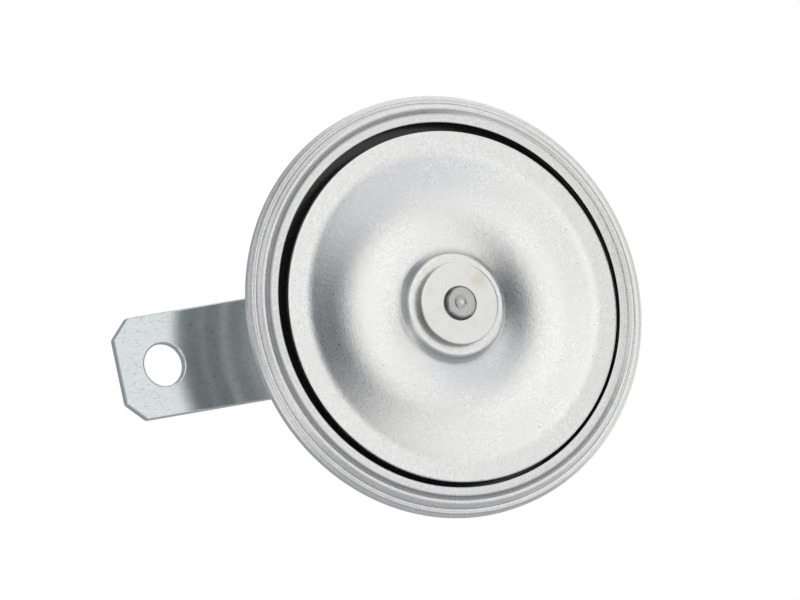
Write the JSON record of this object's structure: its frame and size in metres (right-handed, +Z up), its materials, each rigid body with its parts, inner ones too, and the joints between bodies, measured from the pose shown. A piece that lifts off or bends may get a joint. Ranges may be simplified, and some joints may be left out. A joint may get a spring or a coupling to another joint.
{
  "type": "car horn",
  "caption": "Round electric disc horn for a vehicle: crimped steel housing, dished tone disc with a riveted hub, and a flat strap bracket with a bolt hole.",
  "frame": {"origin": "centre of the bracket's bolt hole, on the rear face that seats on the vehicle", "axes": "+Z up, the horn faces -Y, the bolt leaves the bracket's hole towards +Y, and the horn's axis is 56.5 mm from the hole towards +X"},
  "size_m": [0.1118, 0.0434, 0.09],
  "materials": {
    "zinc_sheet": "galvanised, matte",
    "plated_strip": "bright zinc plate",
    "plated_fastener": "bright zinc plate",
    "magnet_iron": "turned",
    "black_diaphragm": "black",
    "gasket": "matte",
    "copper": "enamelled copper",
    "moulding": "satin",
    "fibre": "matte",
    "spring_bronze": "rolled",
    "contact_metal": "bright",
    "breaker_steel": "plain",
    "brass": "rolled"
  },
  "bodies": {
    "horn_body": {"housing": "zinc_sheet", "clamp_ring": "zinc_sheet", "gasket_front": "gasket", "gasket_rear": "gasket", "diaphragm": "black_diaphragm", "pole_core": "magnet_iron", "coil_bobbin": "moulding", "coil_winding": "copper", "breaker_post": "breaker_steel", "insulator_lower": "fibre", "insulator_upper": "fibre", "breaker_leaf": "spring_bronze", "fixed_arm": "spring_bronze", "fixed_contact": "contact_metal", "breaker_rivets": "breaker_steel", "adjuster_bush": "brass", "adjusting_screw": "breaker_steel", "terminal_block": "moulding", "coil_terminal": "brass", "breaker_terminal": "brass", "terminal_rivets": "plated_fastener", "coil_lead_in": "copper", "coil_lead_out": "copper", "breaker_lead": "copper", "bracket": "plated_strip", "spring_washer": "plated_fastener", "bracket_nut": "plated_fastener"},
    "sounder": {"tone_disc": "zinc_sheet", "hub_washer": "plated_fastener", "armature": "magnet_iron", "diaphragm_washer": "magnet_iron", "spacer_bush": "magnet_iron"},
    "breaker": {"breaker_arm": "spring_bronze", "arm_tip": "fibre", "moving_contact": "contact_metal"}
  },
  "joints": [
    {"name": "diaphragm_pull", "type": "slide", "parent": "horn_body", "child": "sounder", "axis": [0, 1, 0], "range_m": [0, 0.0006], "stiffness_N_per_m": 2000, "deforming": ["diaphragm"]},
    {"name": "breaker_swing", "type": "hinge", "parent": "horn_body", "child": "breaker", "pos_m": [0.08155, -0.01645, 0], "axis": [0, 0, -1], "range_deg": [0, 2.8], "deforming": ["breaker_leaf"]}
  ],
  "couplings": [
    {"joint": "breaker_swing", "follows": "diaphragm_pull", "rad_per_m": 78}
  ]
}
